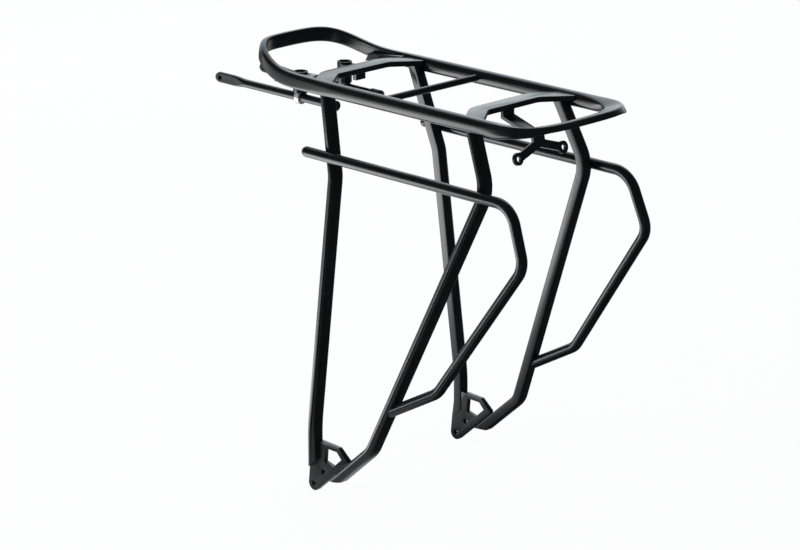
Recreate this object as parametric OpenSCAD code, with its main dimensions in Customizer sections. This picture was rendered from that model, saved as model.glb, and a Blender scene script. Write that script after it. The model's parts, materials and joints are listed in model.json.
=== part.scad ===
// Rear bicycle rack: a welded light-alloy frame with two foot plates, a raised
// front nose, low pannier rails, two adjustable front stays and a light bracket.
// Origin: midway between the two lower foot eyelets. +X is the right side of
// the bicycle, +Y points forward and +Z points up. Millimetres.

/* [Feet] */
// Distance between the middle planes of the two foot plates
foot_spacing = 190; // [170:1:200]
// Thickness of a foot plate
plate_t = 5; // [4:0.5:6]
// Diameter of the foot eyelets
eyelet_d = 5.3; // [4.5:0.1:6]
// Distance from the lower eyelet to the upper one
eyelet_pitch = 19.4; // [17:0.1:21]

/* [Deck] */
// Height of the top of the deck rim over the lower eyelets
deck_h = 376.5; // [360:0.5:420]
// Distance between the middles of the two long sides of the rim
deck_w = 132; // [126:1:140]
// Reach of the nose in front of the eyelets
nose_reach = 132; // [126:1:142]
// Reach of the tail behind the eyelets
tail_reach = 239; // [234:1:250]
// Height of the rim tube along the sides
rim_h = 14; // [12:0.5:16]
// Width of the rim tube along the sides
rim_t = 12.5; // [11:0.5:14]
// Thickness of the flattened band at the nose
band_t = 6.5; // [5:0.5:8]
// How far the nose rises over the sides
nose_lift = 17; // [10:0.5:20]
// Thickness of the two bridges
bridge_t = 5; // [4.5:0.5:7]
// Width of the flat bar of a bridge
bridge_bar = 17; // [14:0.5:18]
// Sweep of a bridge's two arms, in degrees
bridge_sweep = 37; // [30:1:45]
// Diameter of the middle crossbar
crossbar_d = 6.5; // [5:0.5:9]

/* [Legs] */
// Width of a leg seen from the side of the bicycle
leg_w = 10; // [8:0.5:11]
// Depth of a leg across the bicycle
leg_d = 13; // [11:0.5:14]
// Sideways lean of the legs, in mm per mm of height
leg_splay = 0.129; // [0.115:0.001:0.135]

/* [Pannier rails] */
// Diameter of a pannier rail
rail_d = 10; // [9:0.5:12]
// Wall of the rail tube
rail_wall = 1.5; // [1:0.25:2]
// Height of the straight stretch of the rails over the eyelets
rail_h = 310; // [300:1:320]
// Reach of the rail's front end ahead of the eyelets
rail_reach = 27; // [20:1:45]

/* [Front stays] */
// Diameter of a stay rod
stay_d = 8; // [6:0.5:9]
// Length of a stay rod
stay_l = 164.5; // [160:0.5:190]
// Distance between the two stays
stay_spacing = 57; // [52:1:64]
// Distance of the stay axis below the top of the rim
stay_drop = 34.5; // [33:0.5:38]
// Outer diameter of the clamp boss
boss_d = 14; // [13.5:0.5:17]

/* [Light bracket] */
// Distance between the two light holes
light_spacing = 58; // [50:1:66]
// Thickness of the bracket sheet
sheet_t = 3; // [2:0.5:3.5]
// Diameter of the two light holes
light_hole_d = 5.2; // [4:0.1:5.5]

/* [Hidden] */
round_fn = 64;
// Radial clearance of a moving fit and of a thread drawn as a plain cylinder
fit_gap = 0.08;
thread_gap = 0.05;
// Room between a moving piece and its neighbours
clearance = 0.3;

// Deck stations, measured along Y
nose_start = 5;
tail_start = -196;
nose_power = 3.4;
tail_power = 3.7;
step_power = 1.7;
// Where the nose rises, where its flat band begins and is full, and where the tail does so
rise_from = 47;
rise_past = 3;
rise_power = 1.85;
band_from = -20;
band_full = 75;
tail_from = -178;
flat_from = -195;
tail_inset = 9;
// How the tail differs from the sides: narrower, higher and flatter, most towards its middle
tail_narrow = 1.5;
tail_lift = 1.2;
tail_flat = 5;
tail_middle_flat = 3.7;
tail_middle = 44;
tail_corner = 64;
// Slope of the tail's top down to the inside, and how much its corners widen inward
tail_tilt = 0.31;
tail_web = 5.5;
web_from = 12;
web_full = 52;
// How far the top of the section leans inward at the nose and at the tail
nose_lean = 0.9;
tail_lean = 2.5;
rim_w = deck_w / 2;
rim_steps = 20;
side_steps = 16;
rim_sides = 20;

// Bridges
bridge_sink = 2;
bridge_top = deck_h - bridge_sink;
bridge_base = bridge_top - bridge_t;
front_bridge_y = 49;
rear_bridge_y = -140;
bridge_arm = 30.4;
bridge_flat = rim_w - bridge_arm;
bridge_bend_r = 18;
bridge_bend_steps = 8;
bridge_lap = 2;
bridge_end = rim_w - bridge_lap;
crossbar_y = -54;
crossbar_z = deck_h - rim_h / 2;
gusset_t = 7;
gusset_inset = 11;
gusset_x = rim_w - gusset_inset;
gusset_lag = 46;
gusset_lap = 11;
gusset_nip = 5;
gusset_lip = 5.3;
gusset_sink = 1.7;
gusset_tip = nose_reach - gusset_lag;
gusset_back = front_bridge_y - gusset_lap;
gusset_h = 13.5;
gusset_corners = [[gusset_tip, -gusset_h], [gusset_tip - gusset_nip, -gusset_lip],
    [gusset_back, -gusset_sink], [gusset_back, bridge_base - deck_h]];

// Legs: stations in the side view, Y and Z
foot_w = foot_spacing / 2;
leg_offset = 10.7;
foot_leg_offset = 3;
leg_foot_w = foot_w + leg_offset;
foot_leg_w = foot_w + foot_leg_offset;
front_low = [-2.2, 10];
front_bend = [-2, (leg_foot_w - foot_leg_w) / leg_splay];
front_knee_drop = 19.5;
rear_knee_rise = 2.4;
front_knee = [-0.3, rail_h - front_knee_drop];
front_top = [21.2, bridge_base];
rear_low = [-78.5, 53.2];
rear_knee = [-186.6, rail_h + rear_knee_rise];
rear_top = [-160.8, bridge_base];
rear_end_offset = 3.5;
rear_end_w = foot_w + rear_end_offset;
rear_run = 72;
knee_r = 34;
foot_bend_r = 24;
low_bend_r = 180;
leg_bend_steps = 7;
leg_corner = 1.5;

// Cuts at the lower ends of the legs: a point in Y and Z and a tilt down to the front
front_cut = [-10.5, 28];
front_cut_tilt = 39.5;
rear_cut = [-37, 12.3];
rear_cut_tilt = 5;

// Foot plate corners in Y and Z
edge_dir = [-0.746, 0.666];
foot_tip_r = 7;
edge_l = 54.3;
edge_rise = 2.5;
plate_h = 44;
edge_start = foot_tip_r * [-edge_dir[1], edge_dir[0]];
edge_end = edge_start + edge_l * edge_dir;
plate_corners = [[foot_tip_r, 0], [5.5, 15.2], [1.5, plate_h], [-11, plate_h],
    [-33, plate_h - 0.8], edge_end + [0, edge_rise], edge_end, edge_start];
cutout_corners = [[-15.5, 38.9], [-30.7, 38.7], [-36.7, 32.7], [-25.6, 22.6], [-14.3, 25.2]];
upper_eyelet = eyelet_pitch * [-0.654, 0.756];

// Pannier rails
rail_r = rail_d / 2;
rail_bore = rail_r - rail_wall;
rail_seat = 0.3;
rail_w = leg_x(rail_h) + leg_d / 2 + rail_r - rail_seat;
rail_bend_y = -226.5;
rail_back_y = -245.8;
rail_back_drop = 50.5;
rail_back_z = rail_h - rail_back_drop;
rail_flare = 4;
rail_low_y = -154;
rail_low_z = 126;
rail_low_out = 1.6;
rail_end_z = 93.5;
rail_end_lag = 0.7;
rail_end_y = rear_leg_y(rail_end_z) - rail_end_lag;
rail_bend_r = 24;
rail_back_bend_r = 20;
rail_bend_steps = 6;
rail_sides = 20;
rail_lap = 1;
rail_slip = 0.05;
plug_l = 5;

// Stays and their clamps
stay_x = stay_spacing / 2;
stay_z = deck_h - stay_drop;
stay_r = stay_d / 2;
boss_reach = 37.7;
boss_y = front_bridge_y + boss_reach;
lug_w = 12.3;
lug_in = 6.8;
lug_h = 16.5;
// A neck slopes from the bridge down to a tab, and an arch runs on from there to the boss
lug_reach = 15;
lug_toe = front_bridge_y + lug_reach;
lug_neck = 6.5;
lug_tab = 4.5;
lug_crest = 5;
lug_sink = 2;
lug_arch = 6;
boss_r = boss_d / 2;
boss_base = stay_z + stay_r + clearance;
boss_drop = 9.5;
boss_top = deck_h - boss_drop;
eye_wall = 2.25;
eye_r = stay_r + fit_gap + eye_wall;
eye_l = 5;
crown_r = sqrt(pow(eye_r, 2) - pow(stay_r + clearance, 2));
recess_r = norm([crown_r, eye_l / 2]) + clearance;
recess_top = stay_z + eye_r + clearance;
shank_r = 3;
nut_r = 5;
nut_sink = 10.3;
nut_seat = boss_top - nut_sink;
washer_t = 1;
nut_base = nut_seat + thread_gap + washer_t;
nut_cover = 2.4;
nut_top = boss_top - nut_cover;
nut_h = nut_top - nut_base;
socket_flats = 5;
socket_depth = 3.2;
stay_tip_y = 203.5;
tongue_h = 10.5;
tongue_t = 4.5;
tongue_l = 24;
// The press between the round rod and the tongue: its length, steps and lap into both
press_l = 19;
press_steps = 9;
press_sides = 28;
press_lap = 1.5;
press_slip = 0.06;
press_power = 5;
stay_hole_inset = 6.5;
stay_hole_d = 5.3;
cap_wall = 0.9;
cap_l = 11;
stay_rear_y = stay_tip_y - stay_l;

// Light bracket
strap_w = 14.5;
strap_inset = 7.1;
strap_y = rear_bridge_y - bridge_bar + strap_inset;
strap_drop = 7.8;
strap_bend = [strap_y, bridge_base - strap_drop];
strap_fall = 19;
plate_bend = [-186, bridge_base - strap_fall];
light_drop = 15.5;
light_eye_r = 5.7;
arm_w = 7.5;
arm_root = 6.2;
fork_slip = 0.05;
light_tilt = 14;
plate_end = plate_bend - arm_root * [sin(light_tilt), cos(light_tilt)];

powder_black = [0.11, 0.12, 0.13];
plastic_black = [0.06, 0.06, 0.065];
bright_steel = [0.78, 0.79, 0.80];

// Distance of a leg's middle from the centre plane at height z
function leg_x(z) = leg_foot_w - leg_splay * z;

// Place along Y of the rear leg's straight run at height z
function rear_leg_y(z) = rear_low[0]
    + (rear_knee[0] - rear_low[0]) * (z - rear_low[1]) / (rear_knee[1] - rear_low[1]);

// Smooth step from 0 at a to 1 at b
function ease(a, b, v) =
    let (t = max(0, min(1, (v - a) / (b - a)))) t * t * (3 - 2 * t);

function unit(v) = v / norm(v);
function side_point(yz, w) = [w, yz[0], yz[1]];

// A value of magnitude |v|^p with the sign of v
function signed_pow(v, p) = sign(v) * pow(abs(v), p);

// Rim: plan of the right half, from the middle of the nose to the middle of the tail
rim_half = concat(
    [for (k = [0 : rim_steps]) let (a = 90 * pow(1 - k / rim_steps, step_power))
        [rim_w * pow(cos(a), 2 / nose_power),
         nose_start + (nose_reach - nose_start) * pow(sin(a), 2 / nose_power)]],
    [for (k = [1 : side_steps - 1])
        [rim_w, nose_start + (tail_start - nose_start) * k / side_steps]],
    [for (k = [0 : rim_steps]) let (a = 90 * pow(k / rim_steps, step_power))
        [rim_w * pow(cos(a), 2 / tail_power),
         tail_start - (tail_reach + tail_start) * pow(sin(a), 2 / tail_power)]]);
half_count = len(rim_half);
rim_plan = concat(rim_half,
    [for (k = [half_count - 2 : -1 : 1]) [-rim_half[k][0], rim_half[k][1]]]);
rim_count = len(rim_plan);

// Share of the nose's rise, of the nose's flat band and of the tail's flat band at y
function rise_at(y) = pow(ease(rise_from, nose_reach + rise_past, y), rise_power);
function band_at(y) = ease(band_from, band_full, y);
function tail_at(y) = ease(tail_from, tail_inset - tail_reach, y);
function flat_at(y) = ease(flat_from, tail_inset - tail_reach, y);

function rim_top(y) = deck_h + nose_lift * rise_at(y) + tail_lift * tail_at(y);
function rim_base(x, y) = deck_h - rim_h + (nose_lift - 0.5) * rise_at(y)
    + (tail_flat + tail_middle_flat * ease(tail_corner, tail_middle, abs(x))) * flat_at(y);
function rim_web(x, y) = tail_web * ease(web_from, web_full, abs(x)) * tail_at(y);
function rim_width(y) = rim_t + (band_t - rim_t) * band_at(y) - tail_narrow * tail_at(y);
function rim_power(y) = 2.3 + 1.7 * (band_at(y) + tail_at(y));

function rim_lean(y) = nose_lean * band_at(y) + tail_lean * tail_at(y);

// One cross-section of the rim at plan point k
function rim_ring(k) =
    let (p = rim_plan[k],
         ahead = rim_plan[(k + 1) % rim_count],
         behind = rim_plan[(k + rim_count - 1) % rim_count],
         along = unit(ahead - behind),
         out = [-along[1], along[0]],
         y = p[1],
         base = rim_base(p[0], y),
         mid = (rim_top(y) + base) / 2,
         half = (rim_top(y) - base) / 2,
         width = rim_width(y),
         web = rim_web(p[0], y),
         tilt = tail_tilt * tail_at(y) * (width + web) / 2,
         power = 2 / rim_power(y))
    [for (j = [0 : rim_sides - 1]) let (a = 360 * (j + 0.5) / rim_sides,
            up = signed_pow(sin(a), power),
            over = signed_pow(cos(a), power),
            reach = (width / 2 + (over < 0 ? web : 0)) * over - rim_lean(y) * up)
        [p[0] + out[0] * reach, p[1] + out[1] * reach,
         mid + half * up - tilt * max(0, up) * (1 - over)]];

// Skin between rings of m points each; a closed run joins the last ring to the first
function skin_faces(n, m, closed) = concat(
    [for (i = [0 : closed ? n - 1 : n - 2]) for (j = [0 : m - 1])
        let (a = i * m + j, b = i * m + (j + 1) % m,
             c = ((i + 1) % n) * m + (j + 1) % m, d = ((i + 1) % n) * m + j)
        each [[a, c, b], [a, d, c]]],
    closed ? [] : [[for (j = [0 : m - 1]) j], [for (j = [m - 1 : -1 : 0]) (n - 1) * m + j]]);

module rim_stretch(first, last, closed = false) {
    rings = [for (k = [first : last]) rim_ring(k)];
    polyhedron(points = [for (r = rings) each r],
        faces = skin_faces(len(rings), rim_sides, closed), convexity = 10);
}

// The right side of the rim from y = back to y = front, to fit other pieces against it
module rim_side(back, front) {
    near = [for (k = [0 : half_count - 1])
        if (rim_half[k][1] > back && rim_half[k][1] < front) k];
    rim_stretch(near[0] - 1, near[len(near) - 1] + 1);
}

module both_rim_sides(back, front) {
    rim_side(back, front);
    mirror([1, 0, 0]) rim_side(back, front);
}

module deck_rim() {
    color(powder_black) rim_stretch(0, rim_count - 1, closed = true);
}

// Both edges of a strip of width w along stations [point, direction] in the plane
function strip_edges(stations, w) = concat(
    [for (s = stations) s[0] + w / 2 * [-s[1][1], s[1][0]]],
    [for (i = [len(stations) - 1 : -1 : 0])
        stations[i][0] - w / 2 * [-stations[i][1][1], stations[i][1][0]]]);

module bridge_outline() {
    right = [bridge_end, -(bridge_end - bridge_flat) * tan(bridge_sweep)];
    right_bend = [bridge_flat, 0];
    left_bend = [-bridge_flat, 0];
    left = [-right[0], right[1]];
    polygon(strip_edges(concat([[right, unit(right_bend - right)]],
        turn(right_bend, right, left_bend, bridge_bend_r, bridge_bend_steps),
        turn(left_bend, right_bend, left, bridge_bend_r, bridge_bend_steps),
        [[left, unit(left - left_bend)]]), bridge_bar));
}

// The flat bar of a bridge with its swept arms, front edge of the bar at y
module bridge_slab(y) {
    translate([0, y - bridge_bar / 2, bridge_base])
        linear_extrude(bridge_t) bridge_outline();
}

module bridge(y) {
    difference() {
        bridge_slab(y);
        both_rim_sides(y - 5 * bridge_bar, y);
    }
}

module front_bridge() {
    color(powder_black) bridge(front_bridge_y);
}

module rear_bridge() {
    color(powder_black) bridge(rear_bridge_y);
}

module middle_crossbar() {
    color(powder_black) difference() {
        translate([0, crossbar_y, crossbar_z])
            rotate([0, 90, 0])
            cylinder(d = crossbar_d, h = deck_w - rim_t / 2, center = true, $fn = round_fn);
        both_rim_sides(crossbar_y - 2 * crossbar_d, crossbar_y + 2 * crossbar_d);
    }
}

// Leg section: round outside, flat towards the wheel. First value outward, second along
leg_section = concat(
    [for (k = [0 : 10]) let (a = -90 + 18 * k)
        [leg_d / 2 - leg_w / 2 + leg_w / 2 * cos(a), leg_w / 2 * sin(a)]],
    [for (k = [0 : 3]) let (a = 90 + 30 * k)
        [leg_corner - leg_d / 2 + leg_corner * cos(a), leg_w / 2 - leg_corner + leg_corner * sin(a)]],
    [for (k = [0 : 3]) let (a = 180 + 30 * k)
        [leg_corner - leg_d / 2 + leg_corner * cos(a), leg_corner - leg_w / 2 + leg_corner * sin(a)]]);

// Rounded turn at corner p between two straight runs: a list of [point, direction]
function turn(p, from, to, r, steps) =
    let (u = unit(p - from), v = unit(to - p), angle = acos(u * v),
         centre = p + unit(v - u) * r / cos(angle / 2),
         spoke = unit(p - u * r * tan(angle / 2) - centre))
    [for (k = [0 : steps]) let (a = angle * k / steps)
        [centre + r * (spoke * cos(a) + u * sin(a)), u * cos(a) - spoke * sin(a)]];

// Ring of a section's points at point p on a run in direction d
function section_ring(section, p, d) =
    let (out = unit([1, 0, 0] - d[0] * d), along = cross(d, out))
    [for (s = section) p + s[0] * out + s[1] * along];

// A bar of one section swept along stations [p, d]
module sweep(section, stations) {
    polyhedron(points = [for (s = stations) each section_ring(section, s[0], s[1])],
        faces = skin_faces(len(stations), len(section), false), convexity = 6);
}

function leg_station(yz) = side_point(yz, leg_x(yz[1]));

module front_leg_body() {
    low = side_point(front_low, foot_leg_w);
    bend = leg_station(front_bend);
    knee = leg_station(front_knee);
    top = leg_station(front_top);
    past = top + (top - knee) * 0.15;
    sweep(leg_section, concat([[low, unit(bend - low)]],
        turn(bend, low, knee, low_bend_r, leg_bend_steps),
        turn(knee, bend, top, knee_r, leg_bend_steps),
        [[past, unit(top - knee)]]));
}

module rear_leg_body() {
    bend = leg_station(rear_low);
    start = side_point(rear_low - rear_run * edge_dir, rear_end_w);
    knee = leg_station(rear_knee);
    top = leg_station(rear_top);
    past = top + (top - knee) * 0.25;
    sweep(leg_section, concat([[start, unit(bend - start)]],
        turn(bend, start, knee, foot_bend_r, leg_bend_steps),
        turn(knee, bend, top, knee_r, leg_bend_steps),
        [[past, unit(top - knee)]]));
}

// Everything above the underside of the bridges
module over_bridges() {
    translate([0, -tail_reach, bridge_base])
        cube([deck_w, tail_reach + nose_reach, 3 * rim_h]);
}

// Everything below a plane through the point yz that tilts down to the front
module under_plane(yz, tilt) {
    size = 3 * plate_h;
    translate([0, yz[0], yz[1]])
        rotate([-tilt, 0, 0])
        translate([0, -size / 2, -size])
        cube(size);
}

// Takes from a leg what its neighbours fill: rim around y, bridge, rail and foot plate
module leg_fit(y) {
    over_bridges();
    rim_side(y - 2 * leg_d, y + 2 * leg_d);
    rail_straight();
    foot_plate_slab();
}

module front_leg() {
    difference() {
        front_leg_body();
        leg_fit(front_top[0]);
        under_plane(front_cut, front_cut_tilt);
    }
}

module rear_leg() {
    difference() {
        rear_leg_body();
        leg_fit(rear_top[0]);
        under_plane(rear_cut, rear_cut_tilt);
    }
}

module left_front_leg() {
    color(powder_black) mirror([1, 0, 0]) front_leg();
}

module right_front_leg() {
    color(powder_black) front_leg();
}

module left_rear_leg() {
    color(powder_black) mirror([1, 0, 0]) rear_leg();
}

module right_rear_leg() {
    color(powder_black) rear_leg();
}

// Corners of the right rail from its front end to its lower end on the rear leg
rail_corners = [
    [rail_w, rail_reach, rail_h],
    [rail_w, rail_bend_y, rail_h],
    [rail_w + rail_flare, rail_back_y, rail_back_z],
    [leg_x(rail_low_z) + rail_low_out, rail_low_y, rail_low_z],
    [leg_x(rail_end_z), rail_end_y, rail_end_z]];
rail_bends = [0, rail_bend_r, rail_back_bend_r, rail_bend_r];
rail_run = [for (i = [1 : 3])
    each turn(rail_corners[i], rail_corners[i - 1], rail_corners[i + 1], rail_bends[i], rail_bend_steps)];
rail_straight_l = rail_reach - rail_run[0][0][1];

// Bent part of the rail as a solid of radius r, drawn out by lap at both ends
module rail_bent(r, lap) {
    section = [for (k = [0 : rail_sides - 1]) r * [cos(360 * k / rail_sides), sin(360 * k / rail_sides)]];
    first = rail_run[0];
    end_dir = rail_run[len(rail_run) - 1][1];
    sweep(section, concat([[first[0] - lap * first[1], first[1]]], rail_run,
        [[rail_corners[4] + lap * end_dir, end_dir]]));
}

// The straight stretch of the rail, front end first, with radius r
module rail_straight(r = rail_r) {
    translate(rail_corners[0])
        rotate([90, 0, 0])
        cylinder(r = r, h = rail_straight_l, $fn = round_fn);
}

module pannier_rail() {
    difference() {
        union() {
            rail_straight();
            rail_bent(rail_r - rail_slip, rail_lap);
        }
        translate([0, rail_lap, 0]) rail_straight(rail_bore);
        rail_bent(rail_bore - rail_slip, 2 * rail_lap);
        intersection() {
            rear_leg_body();
            translate([0, rail_low_y, rail_end_z / 2])
                cube([foot_spacing, -rail_low_y, rail_low_z]);
        }
    }
}

module left_pannier_rail() {
    color(powder_black) mirror([1, 0, 0]) pannier_rail();
}

module right_pannier_rail() {
    color(powder_black) pannier_rail();
}

// Domed plug in the open front end of a rail
module rail_plug() {
    translate([rail_w, rail_reach, rail_h]) rotate([-90, 0, 0]) {
        translate([0, 0, -plug_l])
            cylinder(r = rail_bore - thread_gap, h = plug_l, $fn = round_fn);
        intersection() {
            sphere(r = rail_r, $fn = round_fn);
            cylinder(r = rail_d, h = rail_d, $fn = round_fn);
        }
    }
}

module left_rail_plug() {
    color(plastic_black) mirror([1, 0, 0]) rail_plug();
}

module right_rail_plug() {
    color(plastic_black) rail_plug();
}

// Extrudes a drawing in Y and Z across X, from x0 over a thickness t
module across(x0, t) {
    translate([x0, 0, 0]) rotate([90, 0, 90]) linear_extrude(t) children();
}

// Outline of a foot plate in Y and Z, without its holes
module foot_outline() {
    circle(r = foot_tip_r, $fn = round_fn);
    polygon(plate_corners);
}

module foot_plate_slab() {
    across(foot_w - plate_t / 2, plate_t) foot_outline();
}

module foot_plate() {
    across(foot_w - plate_t / 2, plate_t) difference() {
        foot_outline();
        circle(d = eyelet_d, $fn = round_fn);
        translate(upper_eyelet) circle(d = eyelet_d, $fn = round_fn);
        polygon(cutout_corners);
    }
}

module left_foot_plate() {
    color(powder_black) mirror([1, 0, 0]) foot_plate();
}

module right_foot_plate() {
    color(powder_black) foot_plate();
}

// Wedge that fills the corner under the rim in front of the front bridge
module nose_gusset() {
    difference() {
        across(gusset_x, gusset_t) translate([0, deck_h]) polygon(gusset_corners);
        rim_side(front_bridge_y - 2 * bridge_bar, nose_reach - rim_t);
        bridge_slab(front_bridge_y);
    }
}

module left_nose_gusset() {
    color(powder_black) mirror([1, 0, 0]) nose_gusset();
}

module right_nose_gusset() {
    color(powder_black) nose_gusset();
}

// Lug in front of the front bridge that ends in a bored boss for the clamp
module stay_holder() {
    lug_base = bridge_base - lug_h;
    difference() {
        union() {
            across(stay_x - lug_in, lug_w)
                polygon([[front_bridge_y, bridge_top - lug_sink], [front_bridge_y, bridge_base],
                    [lug_toe, bridge_base - lug_neck], [lug_toe, lug_base],
                    [lug_toe + lug_tab, lug_base], [lug_toe + lug_tab, lug_base + lug_arch],
                    [boss_y, lug_base + lug_arch], [boss_y, boss_top - lug_sink],
                    [lug_toe + lug_crest, boss_top - lug_sink]]);
            translate([stay_x, boss_y, boss_base])
                cylinder(r = boss_r, h = boss_top - boss_base, $fn = round_fn);
        }
        translate([stay_x, boss_y, boss_base - 1]) {
            cylinder(r = shank_r + fit_gap, h = boss_top - boss_base + 2, $fn = round_fn);
            cylinder(r = recess_r, h = recess_top - boss_base + 1, $fn = round_fn);
        }
        translate([stay_x, boss_y, nut_seat])
            cylinder(r = nut_r + clearance, h = boss_top, $fn = round_fn);
    }
}

module left_stay_holder() {
    color(powder_black) mirror([1, 0, 0]) stay_holder();
}

module right_stay_holder() {
    color(powder_black) stay_holder();
}

// Eye bolt: a ring round the stay with a shank up through the boss
module clamp_eye() {
    difference() {
        translate([stay_x, boss_y, stay_z]) {
            rotate([90, 0, 0])
                cylinder(r = eye_r, h = eye_l, center = true, $fn = round_fn);
            cylinder(r = shank_r, h = nut_top - socket_depth - clearance - stay_z, $fn = round_fn);
        }
        translate([stay_x, boss_y, stay_z])
            rotate([90, 0, 0])
            cylinder(r = stay_r + fit_gap, h = eye_l * 2, center = true, $fn = round_fn);
    }
}

module left_clamp_eye() {
    color(bright_steel) mirror([1, 0, 0]) clamp_eye();
}

module right_clamp_eye() {
    color(bright_steel) clamp_eye();
}

module clamp_washer() {
    translate([stay_x, boss_y, nut_base - washer_t])
        difference() {
            cylinder(r = nut_r, h = washer_t, $fn = round_fn);
            translate([0, 0, -1]) cylinder(r = shank_r + thread_gap, h = washer_t + 2, $fn = round_fn);
        }
}

module left_clamp_washer() {
    color(bright_steel) mirror([1, 0, 0]) clamp_washer();
}

module right_clamp_washer() {
    color(bright_steel) clamp_washer();
}

// Sleeve nut with a hexagon socket in its top
module clamp_nut() {
    translate([stay_x, boss_y, nut_base])
        difference() {
            cylinder(r = nut_r, h = nut_h, $fn = round_fn);
            translate([0, 0, -1])
                cylinder(r = shank_r + thread_gap, h = nut_h - socket_depth + 1, $fn = round_fn);
            translate([0, 0, nut_h - socket_depth])
                cylinder(d = socket_flats / cos(30), h = socket_depth + 1, $fn = 6);
        }
}

module left_clamp_nut() {
    color(bright_steel) mirror([1, 0, 0]) clamp_nut();
}

module right_clamp_nut() {
    color(bright_steel) clamp_nut();
}

// One ring of the pressed stretch of a stay, from round at share 0 to the tongue at share 1
function press_ring(share) =
    let (t = ease(0, 1, share),
         half_t = stay_r + (tongue_t / 2 - stay_r) * t - press_slip,
         half_h = stay_r + (tongue_h / 2 - stay_r) * t - press_slip,
         power = 2 / (2 + (press_power - 2) * t))
    [for (k = [0 : press_sides - 1]) let (a = 360 * (k + 0.5) / press_sides)
        [stay_x + half_t * signed_pow(cos(a), power),
         stay_tip_y - tongue_l - press_l - press_lap + (press_l + 2 * press_lap) * share,
         stay_z - half_h * signed_pow(sin(a), power)]];

// Round rod whose front end is pressed to an upright tongue with a cross hole
module stay() {
    difference() {
        union() {
            translate([stay_x, stay_rear_y, stay_z]) rotate([-90, 0, 0])
                cylinder(r = stay_r, h = stay_l - tongue_l - press_l, $fn = round_fn);
            polyhedron(points = [for (k = [0 : press_steps]) each press_ring(k / press_steps)],
                faces = skin_faces(press_steps + 1, press_sides, false), convexity = 4);
            across(stay_x - tongue_t / 2, tongue_t) {
                translate([stay_tip_y - tongue_l, stay_z - tongue_h / 2])
                    square([tongue_l - tongue_h / 2, tongue_h]);
                translate([stay_tip_y - tongue_h / 2, stay_z])
                    circle(d = tongue_h, $fn = round_fn);
            }
        }
        translate([stay_x, stay_tip_y - stay_hole_inset, stay_z]) rotate([0, 90, 0])
            cylinder(d = stay_hole_d, h = stay_d * 2, center = true, $fn = round_fn);
    }
}

module left_stay() {
    color(powder_black) mirror([1, 0, 0]) stay();
}

module right_stay() {
    color(powder_black) stay();
}

// Cap pushed over the rear end of a stay
module stay_cap() {
    out_r = stay_r + cap_wall;
    bore_r = stay_r + thread_gap;
    translate([stay_x, stay_rear_y, stay_z]) rotate([-90, 0, 0])
        rotate_extrude($fn = round_fn)
        polygon([[0, -3 * cap_wall], [out_r - 2 * cap_wall, -3 * cap_wall], [out_r, -cap_wall],
            [out_r, cap_l], [bore_r, cap_l], [bore_r, 0], [0, 0]]);
}

module left_stay_cap() {
    color(plastic_black) mirror([1, 0, 0]) stay_cap();
}

module right_stay_cap() {
    color(plastic_black) stay_cap();
}

// A flat run of sheet in Y and Z from p to q
module sheet_run(p, q) {
    d = q - p;
    translate(p) rotate(atan2(d[1], d[0])) translate([0, -sheet_t / 2]) square([norm(d), sheet_t]);
}

// The round outside of a bend in the sheet at p
module sheet_bend(p) {
    translate(p) circle(d = sheet_t, $fn = round_fn);
}

// Fork of the light bracket: two arms with an eye at each end
module light_fork() {
    eye_x = light_spacing / 2;
    difference() {
        union() {
            for (side = [-1, 1]) {
                translate([side * eye_x, -light_drop]) circle(r = light_eye_r, $fn = round_fn);
                translate([side * eye_x, -light_drop])
                    rotate(atan2(light_drop - arm_root, -side * eye_x))
                    translate([0, -arm_w / 2])
                    square([norm([eye_x, light_drop - arm_root]), arm_w]);
            }
        }
        for (side = [-1, 1])
            translate([side * eye_x, -light_drop]) circle(d = light_hole_d, $fn = round_fn);
    }
}

// Sheet bracket that hangs under the rear bridge and carries a rear light
module light_bracket() {
    color(powder_black) union() {
        across(-strap_w / 2, strap_w) {
            sheet_run([strap_y, bridge_base], strap_bend);
            sheet_bend(strap_bend);
            sheet_run(strap_bend, plate_bend);
            sheet_bend(plate_bend);
            sheet_run(plate_bend, plate_end);
        }
        translate([0, plate_bend[0], plate_bend[1]])
            rotate([90 - light_tilt, 0, 0])
            linear_extrude(sheet_t - fork_slip, center = true) light_fork();
    }
}

deck_rim();
front_bridge();
rear_bridge();
middle_crossbar();
left_front_leg();
right_front_leg();
left_rear_leg();
right_rear_leg();
left_pannier_rail();
right_pannier_rail();
left_rail_plug();
right_rail_plug();
left_foot_plate();
right_foot_plate();
left_nose_gusset();
right_nose_gusset();
left_stay_holder();
right_stay_holder();
left_clamp_eye();
right_clamp_eye();
left_clamp_washer();
right_clamp_washer();
left_clamp_nut();
right_clamp_nut();
left_stay();
right_stay();
left_stay_cap();
right_stay_cap();
light_bracket();
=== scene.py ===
"""Looks of a rear bicycle rack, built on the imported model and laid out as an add-on."""

import json
import math

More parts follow.
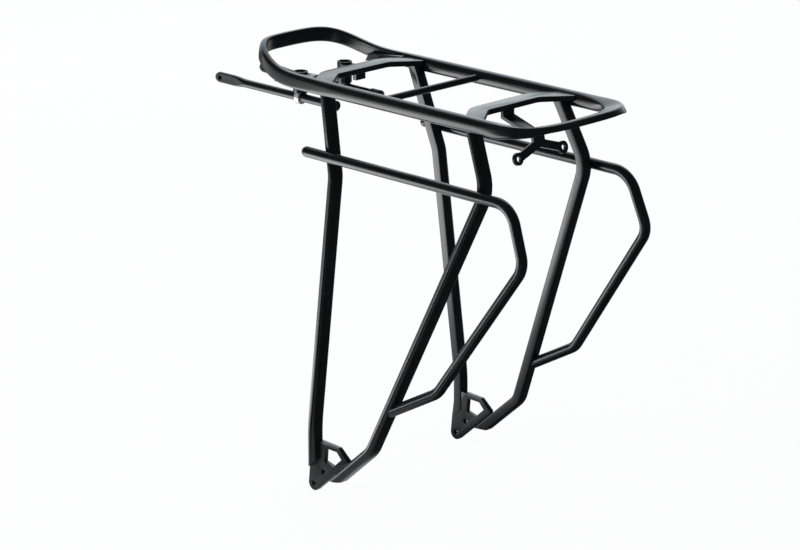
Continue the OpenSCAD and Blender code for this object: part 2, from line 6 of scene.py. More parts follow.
import bpy
from bpy.props import FloatProperty, FloatVectorProperty, PointerProperty
from bpy.types import Operator, Panel, PropertyGroup
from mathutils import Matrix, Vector

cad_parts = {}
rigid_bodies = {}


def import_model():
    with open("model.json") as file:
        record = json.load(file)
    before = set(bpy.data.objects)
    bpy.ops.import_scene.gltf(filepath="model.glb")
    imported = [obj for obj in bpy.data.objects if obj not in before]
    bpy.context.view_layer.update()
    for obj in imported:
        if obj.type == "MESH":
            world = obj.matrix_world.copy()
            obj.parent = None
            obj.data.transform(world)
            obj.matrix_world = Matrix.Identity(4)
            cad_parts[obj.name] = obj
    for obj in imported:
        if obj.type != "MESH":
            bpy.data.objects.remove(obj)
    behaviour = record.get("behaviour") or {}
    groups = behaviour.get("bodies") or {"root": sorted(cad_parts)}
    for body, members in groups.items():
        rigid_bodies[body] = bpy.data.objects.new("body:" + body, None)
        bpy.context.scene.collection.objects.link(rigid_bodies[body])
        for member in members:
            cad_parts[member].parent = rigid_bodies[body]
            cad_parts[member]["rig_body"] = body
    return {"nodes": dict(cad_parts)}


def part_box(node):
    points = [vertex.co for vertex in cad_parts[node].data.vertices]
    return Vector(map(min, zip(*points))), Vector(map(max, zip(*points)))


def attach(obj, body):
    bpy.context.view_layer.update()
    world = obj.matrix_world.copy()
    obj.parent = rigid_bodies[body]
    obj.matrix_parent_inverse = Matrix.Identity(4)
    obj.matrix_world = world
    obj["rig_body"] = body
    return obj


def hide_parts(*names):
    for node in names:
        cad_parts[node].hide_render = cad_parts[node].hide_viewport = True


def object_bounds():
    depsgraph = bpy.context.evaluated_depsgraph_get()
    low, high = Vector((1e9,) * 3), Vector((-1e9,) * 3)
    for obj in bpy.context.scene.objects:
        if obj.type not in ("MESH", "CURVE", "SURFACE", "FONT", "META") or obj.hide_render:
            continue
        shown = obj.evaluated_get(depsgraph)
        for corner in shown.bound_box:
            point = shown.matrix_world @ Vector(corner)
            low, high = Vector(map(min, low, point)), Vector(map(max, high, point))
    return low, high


bl_info = {
    "name": "Rear Rack Looks",
    "version": (1, 0, 0),
    "blender": (4, 5, 0),
    "location": "3D View > Sidebar > Rack",
    "description": "Models the visible pieces of a rear bicycle rack on its packed frame",
    "category": "Object",
}

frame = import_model()
CAD_BOX = [list(corner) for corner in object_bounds()]
SIDES = ("left", "right")

# Modelling
SAME = 1e-5
MERGE = 1e-6
FLAT = math.radians(0.5)
RING_POINTS = 40
ROD_POINTS = 48
DOME_RINGS = 20
BEND_STEPS = 14
PRESS_STEPS = 10
NOSE_STEPS = 9
NOSE_TURN = math.radians(86)
BIT_LENGTH = 8
BOSS_RIM = 0.97

# Finishes: size of the pattern, spread of tone and roughness, depth and strength of the relief
COAT_CLOUD = 0.02
COAT_TONE = (0.8, 1.25)
COAT_SPREAD = (-0.03, 0.04)
COAT_RELIEF = (0.00002, 0.03)
STEEL_METALLIC = 0.5
STEEL_MARK = 0.0006
STEEL_STRETCH = (0.3, 0.3, 4)
STEEL_TONE = (0.85, 1.1)
STEEL_ROUGHNESS = (0.16, 0.3)
STEEL_RELIEF = (0.00001, 0.3)
PLASTIC_GRAIN = 0.0004
PLASTIC_TONE = (0.7, 1.3)
PLASTIC_ROUGHNESS = (0.42, 0.55)
PLASTIC_RELIEF = (0.00003, 0.4)

# Stage: each glow of the floor eases in or out between two distances along a way
DARK = 0.03
BACKDROP_WAY = (0.66, 0.7, 0.25)
BACKDROP_EDGE = (0.57, 0.92)
TABLE_WAY = (0.25, 1, 0)
TABLE_NEAR = (0.0, 0.24)
TABLE_FAR = (0.48, 0.8)
TABLE_FAR_SHARE = 0.2
ASIDE_WAY = (-1, 0, 0)
ASIDE_EDGE = (-0.04, 0.24)
ASIDE_SHARE = 0.12
UNDERFOOT_WAY = (-0.6, 1, 0)
UNDERFOOT_START = (-0.08, 0.02)
UNDERFOOT_END = (0.10, 0.22)
FLOOR_RADIUS = 6
FLOOR_POINTS = 96
FLOOR_GAP = 0.0005
SPECKLE = 0.05
SPECKLE_TONE = 0.99
LAMP_AIM = (0, 0, 0.2)
LAMP_SIZE = (1.4, 1.0)
LAMPS = (("key_softbox", (-1.5, 1.3, 1.2), 20), ("back_softbox", (1.4, 1.6, 1.1), 10))
SENSOR = 36


class RackFinish(PropertyGroup):
    """Colours and surface of the three finishes"""

    coat_color: FloatVectorProperty(
        name="Coat", description="Colour of the powder coat", subtype="COLOR",
        size=3, min=0, max=1, default=(0.0055, 0.006, 0.007))
    coat_roughness: FloatProperty(
        name="Coat Roughness", description="How satin the powder coat is", default=0.22, min=0, max=1)
    peel: FloatProperty(
        name="Peel Size", description="Width of one bump of the coat's orange peel",
        default=0.0011, min=0.0002, max=0.01, unit="LENGTH")
    steel_color: FloatVectorProperty(
        name="Steel", description="Colour of the plated fasteners", subtype="COLOR",
        size=3, min=0, max=1, default=(0.74, 0.75, 0.76))
    plastic_color: FloatVectorProperty(
        name="Plastic", description="Colour of the plugs and caps", subtype="COLOR",
        size=3, min=0, max=1, default=(0.012, 0.012, 0.013))


class RackEdges(PropertyGroup):
    """Rounding of the edges"""

    bar_edge: FloatProperty(
        name="Bars", description="Rounding of the edges of the bridges",
        default=0.0018, min=0.0002, max=0.0022, unit="LENGTH")
    lug_edge: FloatProperty(
        name="Lugs", description="Rounding of the edges of the stay holders",
        default=0.0011, min=0.0002, max=0.002, unit="LENGTH")
    plate_edge: FloatProperty(
        name="Plates", description="Rounding of the edges of plates and sheet",
        default=0.0006, min=0.0002, max=0.002, unit="LENGTH")
    small_edge: FloatProperty(
        name="Fasteners", description="Rounding of the edges of the fasteners",
        default=0.0003, min=0.0001, max=0.001, unit="LENGTH")
    boss_foot: FloatProperty(
        name="Boss Feet", description="Rounding round the foot of the clamp bosses",
        default=0.0012, min=0.0002, max=0.0013, unit="LENGTH")
    eye_edge: FloatProperty(
        name="Clamp Eyes", description="Rounding of the rims of the clamp eyes",
        default=0.0009, min=0.0002, max=0.001, unit="LENGTH")


class RackRail(PropertyGroup):
    """Route of the right pannier rail, whose mirror image is the left one"""

    tube: FloatProperty(
        name="Tube", description="Diameter of the rail tube",
        default=0.010, min=0.009, max=0.012, unit="LENGTH")
    wall: FloatProperty(
        name="Wall", description="Wall of the rail tube", default=0.0015, min=0.001, max=0.002, unit="LENGTH")
    front: FloatVectorProperty(
        name="Front", description="Open front end of the rail", subtype="TRANSLATION",
        size=3, default=(0.07691, 0.0270, 0.3100))
    upper: FloatVectorProperty(
        name="Upper Corner", description="Corner where the rail turns down", subtype="TRANSLATION",
        size=3, default=(0.07691, -0.2265, 0.3100))
    back: FloatVectorProperty(
        name="Back Corner", description="Corner where the rail turns forward", subtype="TRANSLATION",
        size=3, default=(0.08091, -0.2458, 0.2595))
    lower: FloatVectorProperty(
        name="Lower Corner", description="Corner above the rail's foot", subtype="TRANSLATION",
        size=3, default=(0.09105, -0.1540, 0.1260))
    foot: FloatVectorProperty(
        name="Foot", description="End of the rail inside the rear leg", subtype="TRANSLATION",
        size=3, default=(0.09364, -0.0960, 0.0935))
    bend: FloatProperty(
        name="Bend", description="Radius of the upper and the lower bend", default=0.024, unit="LENGTH")
    back_bend: FloatProperty(
        name="Back Bend", description="Radius of the bend at the back", default=0.020, unit="LENGTH")
    plug: FloatProperty(
        name="Plug", description="Length of a plug inside the tube", default=0.005, unit="LENGTH")
    plug_fit: FloatProperty(
        name="Plug Fit", description="Room between a plug and its bore", default=0.00005, unit="LENGTH")


class RackStay(PropertyGroup):
    """Shape of a front stay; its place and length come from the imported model"""

    rod: FloatProperty(name="Rod", description="Diameter of the rod", default=0.008, unit="LENGTH")
    tongue_height: FloatProperty(
        name="Tongue Height", description="Height of the pressed tongue", default=0.0105, unit="LENGTH")
    tongue_thickness: FloatProperty(
        name="Tongue Thickness", description="Thickness of the pressed tongue", default=0.0045, unit="LENGTH")
    tongue_length: FloatProperty(
        name="Tongue Length", description="Length of the pressed tongue", default=0.024, unit="LENGTH")
    press_length: FloatProperty(
        name="Press Length", description="Length over which the rod turns into the tongue",
        default=0.019, unit="LENGTH")
    hole: FloatProperty(
        name="Hole", description="Diameter of the hole in the tongue", default=0.0053, unit="LENGTH")
    hole_inset: FloatProperty(
        name="Hole Inset", description="Distance of the hole from the tongue's tip",
        default=0.0065, unit="LENGTH")


class RackStage(PropertyGroup):
    """Camera, floor and light"""

    target: FloatVectorProperty(
        name="Target", description="Point that the camera looks at", subtype="TRANSLATION",
        size=3, default=(-0.0430, -0.0588, 0.2039))
    distance: FloatProperty(
        name="Distance", description="Distance of the camera from its target",
        default=2.7, min=0.5, max=20, unit="LENGTH")
    azimuth: FloatProperty(
        name="Azimuth", description="Turn of the camera round the rack", subtype="ANGLE",
        default=math.radians(-44.98))
    elevation: FloatProperty(
        name="Elevation", description="Height of the camera over the horizon", subtype="ANGLE",
        default=math.radians(17.49))
    lens: FloatProperty(
        name="Lens", description="Focal length in millimetres on a 36 mm sensor", default=133.66, min=20)
    floor_color: FloatVectorProperty(
        name="Floor", description="Colour of the floor", subtype="COLOR",
        size=3, min=0, max=1, default=(0.92, 0.92, 0.92))
    floor_white: FloatProperty(
        name="Floor White", description="How much of the floor is plain white to the camera",
        default=0.95, min=0, max=1, subtype="FACTOR")
    table: FloatProperty(
        name="Table Glow", description="Brightness of the floor out at the front, seen in reflections",
        default=5.0, min=0, max=20)
    underfoot: FloatProperty(
        name="Underfoot Glow", description="Brightness of the floor next to the feet, seen in reflections",
        default=0.65, min=0, max=20)
    backdrop: FloatProperty(
        name="Backdrop Glow", description="Brightness of the backdrop, seen in reflections",
        default=1.7, min=0, max=20)
    fill: FloatProperty(
        name="Fill", description="Level of the soft light from all round", default=0.6, min=0, max=5)
    room_tint: FloatVectorProperty(
        name="Room Tint", description="Cool tint of the room's light", subtype="COLOR",
        size=3, min=0, max=1, default=(0.86, 0.95, 1.0))


# Helpers for modelling


def only(piece):
    """Makes a piece the only selected one and the active one."""
    bpy.ops.object.select_all(action="DESELECT")
    piece.select_set(True)
    bpy.context.view_layer.objects.active = piece


def edit(piece):
    """Enters edit mode on a piece with all of it selected."""
    only(piece)
    bpy.ops.object.mode_set(mode="EDIT")
    bpy.ops.mesh.select_mode(type="VERT")
    bpy.ops.mesh.select_all(action="SELECT")


def leave():
    """Leaves edit mode."""
    bpy.ops.object.mode_set(mode="OBJECT")


def apply(piece, kind, **values):
    """Adds a modifier with these values and applies it."""
    only(piece)
    modifier = piece.modifiers.new(kind.title(), kind)
    for name, value in values.items():
        setattr(modifier, name, value)
    bpy.ops.object.modifier_apply(modifier=modifier.name)


def round_edges(piece, width, segments=3, angle=35):
    """Rounds the edges that are sharper than an angle."""
    apply(piece, "BEVEL", width=width, segments=segments, limit_method="ANGLE",
          angle_limit=math.radians(angle), use_clamp_overlap=True)


def smooth(piece, angle=40):
    """Shades a piece smooth up to an angle."""
    only(piece)
    bpy.ops.object.shade_smooth_by_angle(angle=math.radians(angle))


def copy_of(node, name):
    """A merged copy of a CAD node's mesh, as the start of a finer piece."""
    mesh = frame["nodes"][node].data.copy()
    piece = bpy.data.objects.new(name, mesh)
    bpy.context.scene.collection.objects.link(piece)
    only(piece)
    bpy.ops.mesh.customdata_custom_splitnormals_clear()
    edit(piece)
    bpy.ops.mesh.remove_doubles(threshold=MERGE)
    leave()
    return piece


def started(name):
    """Names the new primitive and puts its place into its mesh."""
    piece = bpy.context.active_object
    piece.name = piece.data.name = name
    only(piece)
    bpy.ops.object.transform_apply(location=True, rotation=True, scale=True)
    return piece


def pull(by):
    """Draws the selected ring of edges out."""
    bpy.ops.mesh.extrude_edges_move(TRANSFORM_OT_translate={"value": by})


def sweep_route(route, bends, steps):
    """Draws the selected ring along a route whose corners are bent to these radii."""
    at = route[0]
    for before, corner, after, radius in zip(route, route[1:], route[2:], bends):
        into, out = (corner - before).normalized(), (after - corner).normalized()
        angle = into.angle(out)
        reach = radius * math.tan(angle / 2)
        pull(corner - into * reach - at)
        bpy.ops.mesh.spin(steps=steps, angle=angle, axis=out.cross(into).normalized(),
                          center=corner + (out - into).normalized() * radius / math.cos(angle / 2))
        at = corner + out * reach
    pull(route[-1] - at)


def select_where(piece, test):
    """Selects the points of a piece in edit mode whose place passes a test."""
    bpy.ops.mesh.select_all(action="DESELECT")
    leave()
    for point in piece.data.vertices:
        point.select = test(point.co)
    bpy.ops.object.mode_set(mode="EDIT")


def drill(piece, place, radius):
    """Drills a hole across a piece."""
    bpy.ops.object.select_all(action="DESELECT")
    bpy.ops.mesh.primitive_cylinder_add(
        vertices=RING_POINTS, radius=radius, depth=BIT_LENGTH * radius, location=place,
        rotation=(0, math.pi / 2, 0))
    bit = started("drill_bit")
    apply(piece, "BOOLEAN", operation="DIFFERENCE", object=bit, solver="EXACT")
    bpy.data.objects.remove(bit)


def outward(piece):
    """Merges doubles and points all faces outward."""
    edit(piece)
    bpy.ops.mesh.remove_doubles(threshold=MERGE)
    bpy.ops.mesh.normals_make_consistent(inside=False)
    leave()


def mirrored(piece, name):
    """The mirror image of a piece across the middle plane, with its own mesh."""
    twin = piece.copy()
    twin.data = piece.data.copy()
    twin.name = twin.data.name = name
    bpy.context.scene.collection.objects.link(twin)
    edit(twin)
    bpy.ops.transform.resize(value=(-1, 1, 1), center_override=(0, 0, 0))
    leave()
    outward(twin)
    return twin


def settle(piece, node, material):
    """Gives a piece its finish, and puts it in place of its CAD node on the node's body."""
    piece.data.materials.clear()
    piece.data.materials.append(material)
    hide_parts(node)
    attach(piece, frame["nodes"][node]["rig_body"])


# Finishes


def new_material(name):
    """A node material with object coordinates, its nodes, its links and its shader."""
    material = bpy.data.materials.get(name)
    if material:
        return material, None, None, None, None
    material = bpy.data.materials.new(name)
    material.use_nodes = True
    tree = material.node_tree
    shader = tree.nodes["Principled BSDF"]
    place = tree.nodes.new("ShaderNodeTexCoord").outputs["Object"]
    return material, tree.nodes, tree.links, shader, place


def noise(nodes, links, place, size, detail=2.0, stretch=(1, 1, 1)):
    """A noise whose bumps are about one size wide, stretched along the axes."""
    mapping = nodes.new("ShaderNodeMapping")
    mapping.inputs["Scale"].default_value = stretch
    links.new(place, mapping.inputs["Vector"])
    texture = nodes.new("ShaderNodeTexNoise")
    texture.inputs["Scale"].default_value = 0.5 / size
    texture.inputs["Detail"].default_value = detail
    links.new(mapping.outputs["Vector"], texture.inputs["Vector"])
    return texture.outputs["Fac"]


def shades(nodes, links, factor, low, high, low_at=0.35, high_at=0.65):
    """A colour that runs from low to high with a factor."""
    colors = nodes.new("ShaderNodeValToRGB")
    for stop, at, color in zip(colors.color_ramp.elements, (low_at, high_at), (low, high)):
        stop.position = at
        stop.color = (*color, 1)
    links.new(factor, colors.inputs["Fac"])
    return colors.outputs["Color"]


def ranged(nodes, links, factor, low, high):
    """A number that runs from low to high with a factor."""
    spread = nodes.new("ShaderNodeMapRange")
    spread.inputs["From Min"].default_value = 0.3
    spread.inputs["From Max"].default_value = 0.7
    spread.inputs["To Min"].default_value = low
    spread.inputs["To Max"].default_value = high
    links.new(factor, spread.inputs["Value"])
    return spread.outputs["Result"]


def bump(nodes, links, height, shader, relief):
    """Raises the surface by a height, with a relief of this depth and strength."""
    depth, strength = relief
    node = nodes.new("ShaderNodeBump")
    node.inputs["Strength"].default_value = strength
    node.inputs["Distance"].default_value = depth
    links.new(height, node.inputs["Height"])
    links.new(node.outputs["Normal"], shader.inputs["Normal"])


def scaled(color, share):
    """A colour times a share, kept in range."""
    return tuple(min(1.0, c * share) for c in color)


def powder_coat():
    """Satin black powder coat: fine orange peel, slightly uneven gloss and tone."""
    finish = bpy.context.scene.rack_finish
    material, nodes, links, shader, place = new_material("satin_powder_coat")
    if nodes is None:
        return material
    peel = noise(nodes, links, place, finish.peel, detail=3)
    clouds = noise(nodes, links, place, COAT_CLOUD, detail=4)
    tones = [scaled(finish.coat_color, share) for share in COAT_TONE]
    links.new(shades(nodes, links, clouds, *tones), shader.inputs["Base Color"])
    gloss = [finish.coat_roughness + step for step in COAT_SPREAD]
    links.new(ranged(nodes, links, clouds, *gloss), shader.inputs["Roughness"])
    bump(nodes, links, peel, shader, COAT_RELIEF)
    return material


def plated_steel():
    """Bright plated steel with fine turning marks."""
    finish = bpy.context.scene.rack_finish
    material, nodes, links, shader, place = new_material("bright_plated_steel")
    if nodes is None:
        return material
    shader.inputs["Metallic"].default_value = STEEL_METALLIC
    marks = noise(nodes, links, place, STEEL_MARK, detail=3, stretch=STEEL_STRETCH)
    tones = [scaled(finish.steel_color, share) for share in STEEL_TONE]
    links.new(shades(nodes, links, marks, *tones), shader.inputs["Base Color"])
    links.new(ranged(nodes, links, marks, *STEEL_ROUGHNESS), shader.inputs["Roughness"])
    bump(nodes, links, marks, shader, STEEL_RELIEF)
    return material


def black_plastic():
    """Moulded black plastic with a fine spark-eroded grain."""
    finish = bpy.context.scene.rack_finish
    material, nodes, links, shader, place = new_material("moulded_black_plastic")
    if nodes is None:
        return material
    grain = noise(nodes, links, place, PLASTIC_GRAIN, detail=4)
    tones = [scaled(finish.plastic_color, share) for share in PLASTIC_TONE]
    links.new(shades(nodes, links, grain, *tones), shader.inputs["Base Color"])
    links.new(ranged(nodes, links, grain, *PLASTIC_ROUGHNESS), shader.inputs["Roughness"])
    bump(nodes, links, grain, shader, PLASTIC_RELIEF)
    return material


# Pieces


class RACK_OT_deck_rim(Operator):
    """Models the looped rim tube of the deck"""

    bl_idname = "rack.deck_rim"
    bl_label = "Deck Rim"

    def execute(self, context):
        piece = copy_of("deck_rim", "deck_rim_tube")
        edit(piece)
        bpy.ops.mesh.tris_convert_to_quads(
            face_threshold=math.radians(60), shape_threshold=math.radians(80), topology_influence=1.5)
        leave()
        apply(piece, "SUBSURF", levels=2, render_levels=2)
        smooth(piece, 60)
        settle(piece, "deck_rim", powder_coat())
        return {"FINISHED"}


class RACK_OT_bridges(Operator):
    """Models the two bridges and the middle crossbar"""

    bl_idname = "rack.bridges"
    bl_label = "Bridges"

    def execute(self, context):
        edges = context.scene.rack_edges
        for node in ("front_bridge", "rear_bridge"):
            piece = copy_of(node, node + "_bar")
            edit(piece)
            bpy.ops.mesh.dissolve_limited(angle_limit=FLAT)
            leave()
            round_edges(piece, edges.bar_edge, segments=4)
            smooth(piece)
            settle(piece, node, powder_coat())
        piece = copy_of("middle_crossbar", "middle_crossbar_rod")
        smooth(piece)
        settle(piece, "middle_crossbar", powder_coat())
        return {"FINISHED"}


class RACK_OT_legs(Operator):
    """Models the four legs"""

    bl_idname = "rack.legs"
    bl_label = "Legs"

    def execute(self, context):
        for side in SIDES:
            for end in ("front", "rear"):
                node = f"{side}_{end}_leg"
                piece = copy_of(node, node + "_bar")
                smooth(piece)
                settle(piece, node, powder_coat())
        return {"FINISHED"}


class RACK_OT_rails(Operator):
    """Models the two pannier rails and their plugs"""

    bl_idname = "rack.rails"
    bl_label = "Pannier Rails"

    def execute(self, context):
        rail = context.scene.rack_rail
        route = [Vector(corner) for corner in (rail.front, rail.upper, rail.back, rail.lower, rail.foot)]
        bore = rail.tube / 2 - rail.wall
        tubes = self.tubes(rail, route, bore)
        plugs = self.plugs(rail, route[0], bore)
        for side, tube, plug in zip(SIDES, tubes, plugs):
            smooth(tube)
            settle(tube, side + "_pannier_rail", powder_coat())
            smooth(plug)
            settle(plug, side + "_rail_plug", black_plastic())
        return {"FINISHED"}

    def tubes(self, rail, route, bore):
        """The left and the right tube: a ring drawn along the route, with a lip round the bore in front."""
        bpy.ops.object.select_all(action="DESELECT")
        bpy.ops.mesh.primitive_circle_add(
            vertices=RING_POINTS, radius=rail.tube / 2, location=route[0], rotation=(math.pi / 2, 0, 0))
        tube = started("right_pannier_rail_tube")
        edit(tube)
        sweep_route(route, (rail.bend, rail.back_bend, rail.bend), BEND_STEPS)
        bpy.ops.mesh.edge_face_add()
        select_where(tube, lambda place: abs(place.y - route[0].y) < SAME)
        pull((0, 0, 0))
        share = 2 * bore / rail.tube
        bpy.ops.transform.resize(value=(share, share, share), center_override=route[0])
        pull((0, -2 * rail.plug, 0))
        bpy.ops.mesh.edge_face_add()
        leave()
        outward(tube)
        return mirrored(tube, "left_pannier_rail_tube"), tube

    def plugs(self, rail, place, bore):
        """The left and the right plug: half a ball whose flat side is inset and drawn out to a shank."""
        bpy.ops.object.select_all(action="DESELECT")
        bpy.ops.mesh.primitive_uv_sphere_add(
            segments=RING_POINTS, ring_count=DOME_RINGS, radius=rail.tube / 2, location=place,
            rotation=(-math.pi / 2, 0, 0))
        plug = started("right_rail_plug_dome")
        edit(plug)
        bpy.ops.mesh.bisect(plane_co=place, plane_no=(0, 1, 0), use_fill=True, clear_inner=True)
        bpy.ops.mesh.select_mode(type="FACE")
        bpy.ops.mesh.inset(thickness=rail.wall + rail.plug_fit)
        bpy.ops.mesh.extrude_region_move(TRANSFORM_OT_translate={"value": (0, -rail.plug, 0)})
        leave()
        outward(plug)
        return mirrored(plug, "left_rail_plug_dome"), plug


class RACK_OT_feet(Operator):
    """Models the foot plates and the nose gussets"""

    bl_idname = "rack.feet"
    bl_label = "Feet and Gussets"

    def execute(self, context):
        edges = context.scene.rack_edges
        for side in SIDES:
            for kind in ("foot_plate", "nose_gusset"):
                node = f"{side}_{kind}"
                piece = copy_of(node, node + "_plate")
                edit(piece)
                bpy.ops.mesh.dissolve_limited(angle_limit=FLAT)
                leave()
                round_edges(piece, edges.plate_edge)
                smooth(piece)
                settle(piece, node, powder_coat())
        return {"FINISHED"}


class RACK_OT_stays(Operator):
    """Models the two sliding stays and their caps"""

    bl_idname = "rack.stays"
    bl_label = "Front Stays"

    def execute(self, context):
        edges = context.scene.rack_edges
        rod = self.rod(context.scene.rack_stay)
        for side, piece in zip(SIDES, (mirrored(rod, "left_stay_rod"), rod)):
            round_edges(piece, edges.small_edge, angle=50)
            smooth(piece)
            settle(piece, side + "_stay", powder_coat())
            node = side + "_stay_cap"
            piece = copy_of(node, node + "_cover")
            round_edges(piece, edges.small_edge)
            smooth(piece)
            settle(piece, node, black_plastic())
        return {"FINISHED"}

    def rod(self, stay):
        """The right stay: a ring drawn forward and pressed flat to a round-nosed tongue with a hole."""
        low, high = (Vector(corner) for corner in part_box("right_stay"))
        axis = (low + high) / 2
        bpy.ops.object.select_all(action="DESELECT")
        bpy.ops.mesh.primitive_circle_add(
            vertices=ROD_POINTS, radius=stay.rod / 2, location=(axis.x, low.y, axis.z),
            rotation=(math.pi / 2, 0, 0))
        piece = started("right_stay_rod")
        edit(piece)
        bpy.ops.mesh.edge_face_add()
        bpy.ops.mesh.select_mode(type="EDGE")
        radius, crest = stay.rod / 2, stay.tongue_height / 2
        tongue_start = high.y - stay.tongue_length
        press_start = tongue_start - stay.press_length
        rings = [(press_start, radius, radius)]
        for step in range(1, PRESS_STEPS + 1):
            share = step / PRESS_STEPS
            eased = share * share * (3 - 2 * share)
            rings.append((press_start + stay.press_length * share, radius + (crest - radius) * eased,
                          radius + (stay.tongue_thickness / 2 - radius) * eased))
        for step in range(NOSE_STEPS):
            turn = NOSE_TURN * step / (NOSE_STEPS - 1)
            rings.append((high.y - crest + crest * math.sin(turn), crest * math.cos(turn),
                          stay.tongue_thickness / 2))
        at, height = low.y, radius
        for place, half, limit in rings:
            pull((0, place - at, 0))
            bpy.ops.transform.resize(value=(1, 1, half / height), center_override=(axis.x, place, axis.z))
            at, height = place, half
        bpy.ops.mesh.edge_face_add()
        for place, half, limit in rings[1:]:
            for way in (-1, 1):
                select_where(piece, lambda spot: abs(spot.y - place) < SAME
                             and way * (spot.x - axis.x) > limit)
                bpy.ops.transform.resize(
                    value=(0, 1, 1), center_override=(axis.x + way * limit, place, axis.z))
        leave()
        outward(piece)
        drill(piece, (axis.x, high.y - stay.hole_inset, axis.z), stay.hole / 2)
        return piece


class RACK_OT_clamps(Operator):
    """Models the stay holders and their clamps"""

    bl_idname = "rack.clamps"
    bl_label = "Stay Clamps"

    def execute(self, context):
        edges = context.scene.rack_edges
        for side in SIDES:
            node = side + "_stay_holder"
            piece = copy_of(node, node + "_lug")
            low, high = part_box(node)
            edit(piece)
            bpy.ops.mesh.dissolve_limited(angle_limit=FLAT)
            radius = (high[0] - low[0]) / 2
            axis = Vector((low[0] + radius, high[1] - radius))
            select_where(piece, lambda place: place.z < low[2] + SAME
                         and (place.xy - axis).length > BOSS_RIM * radius)
            bpy.ops.mesh.bevel(offset=edges.boss_foot, segments=5)
            leave()
            round_edges(piece, edges.lug_edge)
            smooth(piece)
            settle(piece, node, powder_coat())
            for kind in ("clamp_eye", "clamp_washer", "clamp_nut"):
                node = f"{side}_{kind}"
                piece = copy_of(node, node + "_turned")
                edit(piece)
                bpy.ops.mesh.dissolve_limited(angle_limit=FLAT)
                leave()
                round_edges(piece, edges.eye_edge if kind == "clamp_eye" else edges.small_edge)
                smooth(piece)
                settle(piece, node, plated_steel())
        return {"FINISHED"}


class RACK_OT_light_bracket(Operator):
    """Models the light bracket"""

    bl_idname = "rack.light_bracket"
    bl_label = "Light Bracket"

    def execute(self, context):
        piece = copy_of("light_bracket", "light_bracket_sheet")
        edit(piece)
        bpy.ops.mesh.dissolve_limited(angle_limit=FLAT)
        leave()
        round_edges(piece, context.scene.rack_edges.plate_edge)
        smooth(piece)
        settle(piece, "light_bracket", powder_coat())
        return {"FINISHED"}


# Stage


def math_node(nodes, links, operation, *values):
    """A math node fed with sockets or plain numbers."""
    node = nodes.new("ShaderNodeMath")
    node.operation = operation
    for socket, value in zip(node.inputs, values):
        if isinstance(value, (int, float)):
            socket.default_value = value
        else:
            links.new(value, socket)
    return node.outputs["Value"]


def ramp(nodes, links, place, toward, start, end, low, high):
    """A number that eases from low to high as a place, or a direction, moves along a vector."""
    dot = nodes.new("ShaderNodeVectorMath")
    dot.operation = "DOT_PRODUCT"
    dot.inputs[1].default_value = toward
    links.new(place, dot.inputs[0])
    spread = nodes.new("ShaderNodeMapRange")
    spread.interpolation_type = "SMOOTHSTEP"
    for socket, value in zip(("From Min", "From Max", "To Min", "To Max"), (start, end, low, high)):
        spread.inputs[socket].default_value = value
    links.new(dot.outputs["Value"], spread.inputs["Value"])
    return spread.outputs["Result"]


def tinted(nodes, links, rays, tint):
    """White to the camera and a tint to all else."""
    mix = nodes.new("ShaderNodeMix")
    mix.data_type = "RGBA"
    links.new(rays.outputs["Is Camera Ray"], mix.inputs["Factor"])
    mix.inputs[6].default_value = (*tint, 1)
    mix.inputs[7].default_value = (1, 1, 1, 1)
    return mix.outputs[2]


def studio_world(stage):
    """White behind the rack; for reflections a dark room with one bright backdrop."""
    world = bpy.data.worlds.new("studio")
    bpy.context.scene.world = world
    world.use_nodes = True
    nodes, links = world.node_tree.nodes, world.node_tree.links
    way = nodes.new("ShaderNodeTexCoord").outputs["Generated"]
    rays = nodes.new("ShaderNodeLightPath")
    toward = Vector(BACKDROP_WAY).normalized()
    backdrop = ramp(nodes, links, way, toward, *BACKDROP_EDGE, DARK, stage.backdrop)
    level = nodes.new("ShaderNodeMix")
    links.new(rays.outputs["Is Glossy Ray"], level.inputs["Factor"])
    level.inputs["A"].default_value = stage.fill
    links.new(backdrop, level.inputs["B"])
    links.new(math_node(nodes, links, "MAXIMUM", level.outputs["Result"], rays.outputs["Is Camera Ray"]),
              nodes["Background"].inputs["Strength"])
    links.new(tinted(nodes, links, rays, stage.room_tint), nodes["Background"].inputs["Color"])
    world.cycles.sampling_method = "NONE"


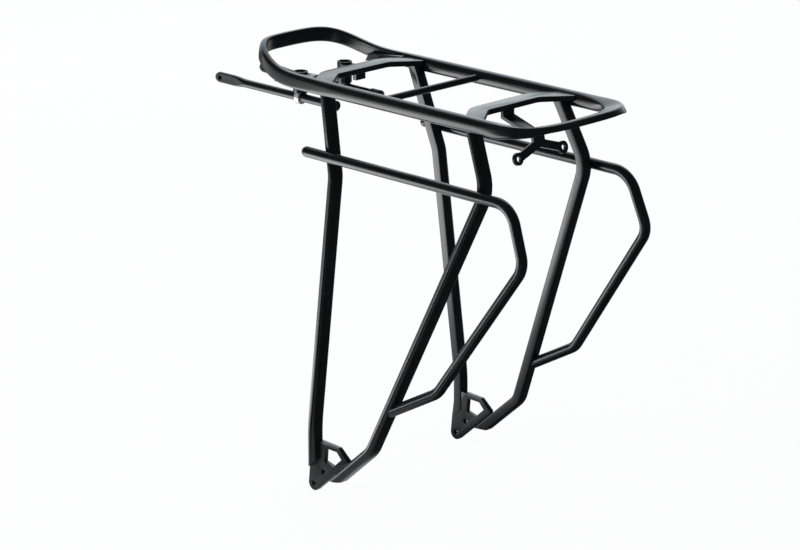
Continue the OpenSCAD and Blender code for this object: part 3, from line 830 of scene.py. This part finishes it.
def floor_material(stage):
    """Pale floor: white to the camera with a faint shadow, and bright in reflections out at the front."""
    color = tuple(stage.floor_color)
    material, nodes, links, shader, place = new_material("pale_floor")
    nodes.remove(shader)
    diffuse = nodes.new("ShaderNodeBsdfDiffuse")
    speckle = noise(nodes, links, place, SPECKLE, detail=2)
    links.new(shades(nodes, links, speckle, scaled(color, SPECKLE_TONE), color), diffuse.inputs["Color"])
    near = ramp(nodes, links, place, TABLE_WAY, *TABLE_NEAR, 0.0, stage.table)
    far = ramp(nodes, links, place, TABLE_WAY, *TABLE_FAR, 1.0, TABLE_FAR_SHARE)
    aside = ramp(nodes, links, place, ASIDE_WAY, *ASIDE_EDGE, ASIDE_SHARE, 1.0)
    table = math_node(nodes, links, "MULTIPLY", math_node(nodes, links, "MULTIPLY", near, far), aside)
    begun = ramp(nodes, links, place, UNDERFOOT_WAY, *UNDERFOOT_START, DARK, stage.underfoot)
    ended = ramp(nodes, links, place, UNDERFOOT_WAY, *UNDERFOOT_END, 1.0, DARK)
    rays = nodes.new("ShaderNodeLightPath")
    underfoot = math_node(nodes, links, "MULTIPLY", math_node(nodes, links, "MULTIPLY", begun, ended),
                          rays.outputs["Is Glossy Ray"])
    cool = nodes.new("ShaderNodeEmission")
    cool.inputs["Color"].default_value = (*stage.room_tint, 1)
    links.new(underfoot, cool.inputs["Strength"])
    level = nodes.new("ShaderNodeMix")
    links.new(rays.outputs["Is Glossy Ray"], level.inputs["Factor"])
    level.inputs["A"].default_value = 1.0
    links.new(table, level.inputs["B"])
    glow = nodes.new("ShaderNodeEmission")
    links.new(level.outputs["Result"], glow.inputs["Strength"])
    both = nodes.new("ShaderNodeAddShader")
    links.new(glow.outputs["Emission"], both.inputs[0])
    links.new(cool.outputs["Emission"], both.inputs[1])
    white = math_node(nodes, links, "MULTIPLY", rays.outputs["Is Camera Ray"], stage.floor_white)
    mix = nodes.new("ShaderNodeMixShader")
    links.new(math_node(nodes, links, "MAXIMUM", white, rays.outputs["Is Glossy Ray"]), mix.inputs["Fac"])
    links.new(diffuse.outputs["BSDF"], mix.inputs[1])
    links.new(both.outputs["Shader"], mix.inputs[2])
    links.new(mix.outputs["Shader"], nodes["Material Output"].inputs["Surface"])
    material.cycles.emission_sampling = "NONE"
    return material


def softbox(name, place, watts):
    """A large area lamp aimed at the rack."""
    data = bpy.data.lights.new(name, "AREA")
    data.shape = "RECTANGLE"
    data.size, data.size_y = LAMP_SIZE
    data.energy = watts
    lamp = bpy.data.objects.new(name, data)
    bpy.context.scene.collection.objects.link(lamp)
    lamp.location = place
    lamp.rotation_euler = (Vector(place) - Vector(LAMP_AIM)).to_track_quat("Z", "Y").to_euler()
    lamp.visible_glossy = False


class RACK_OT_stage(Operator):
    """Sets the floor, the light and the camera"""

    bl_idname = "rack.stage"
    bl_label = "Stage"

    def execute(self, context):
        stage = context.scene.rack_stage
        studio_world(stage)
        bpy.ops.object.select_all(action="DESELECT")
        bpy.ops.mesh.primitive_circle_add(
            vertices=FLOOR_POINTS, radius=FLOOR_RADIUS, fill_type="NGON",
            location=(0, 0, CAD_BOX[0][2] - FLOOR_GAP))
        floor = context.active_object
        floor.name = "floor"
        floor.data.materials.append(floor_material(stage))
        for lamp in LAMPS:
            softbox(*lamp)
        data = bpy.data.cameras.new("camera")
        data.lens = stage.lens
        data.sensor_width = SENSOR
        camera = bpy.data.objects.new("camera", data)
        context.scene.collection.objects.link(camera)
        back = Vector((math.sin(stage.azimuth) * math.cos(stage.elevation),
                       -math.cos(stage.azimuth) * math.cos(stage.elevation), math.sin(stage.elevation)))
        camera.location = Vector(stage.target) + stage.distance * back
        camera.rotation_euler = back.to_track_quat("Z", "Y").to_euler()
        context.scene.camera = camera
        context.scene.view_settings.view_transform = "Standard"
        return {"FINISHED"}


class RACK_PT_looks(Panel):
    """Lists the rack's pieces and settings"""

    bl_idname = "RACK_PT_looks"
    bl_label = "Rear Rack"
    bl_space_type = "VIEW_3D"
    bl_region_type = "UI"
    bl_category = "Rack"

    def draw(self, context):
        layout = self.layout
        for operator in OPERATORS:
            layout.operator(operator.bl_idname)
        for settings in (context.scene.rack_finish, context.scene.rack_edges, context.scene.rack_rail,
                         context.scene.rack_stay, context.scene.rack_stage):
            box = layout.box()
            for name in settings.__annotations__:
                box.prop(settings, name)


SETTINGS = (RackFinish, RackEdges, RackRail, RackStay, RackStage)
OPERATORS = (RACK_OT_deck_rim, RACK_OT_bridges, RACK_OT_legs, RACK_OT_rails, RACK_OT_feet, RACK_OT_stays,
             RACK_OT_clamps, RACK_OT_light_bracket, RACK_OT_stage)


def register():
    for cls in (*SETTINGS, *OPERATORS, RACK_PT_looks):
        bpy.utils.register_class(cls)
    bpy.types.Scene.rack_finish = PointerProperty(type=RackFinish)
    bpy.types.Scene.rack_edges = PointerProperty(type=RackEdges)
    bpy.types.Scene.rack_rail = PointerProperty(type=RackRail)
    bpy.types.Scene.rack_stay = PointerProperty(type=RackStay)
    bpy.types.Scene.rack_stage = PointerProperty(type=RackStage)


def unregister():
    del bpy.types.Scene.rack_stage
    del bpy.types.Scene.rack_stay
    del bpy.types.Scene.rack_rail
    del bpy.types.Scene.rack_edges
    del bpy.types.Scene.rack_finish
    for cls in reversed((*SETTINGS, *OPERATORS, RACK_PT_looks)):
        bpy.utils.unregister_class(cls)


def main():
    register()
    bpy.ops.rack.deck_rim()
    bpy.ops.rack.bridges()
    bpy.ops.rack.legs()
    bpy.ops.rack.rails()
    bpy.ops.rack.feet()
    bpy.ops.rack.stays()
    bpy.ops.rack.clamps()
    bpy.ops.rack.light_bracket()
    bpy.ops.rack.stage()


if __name__ == "__main__":
    main()
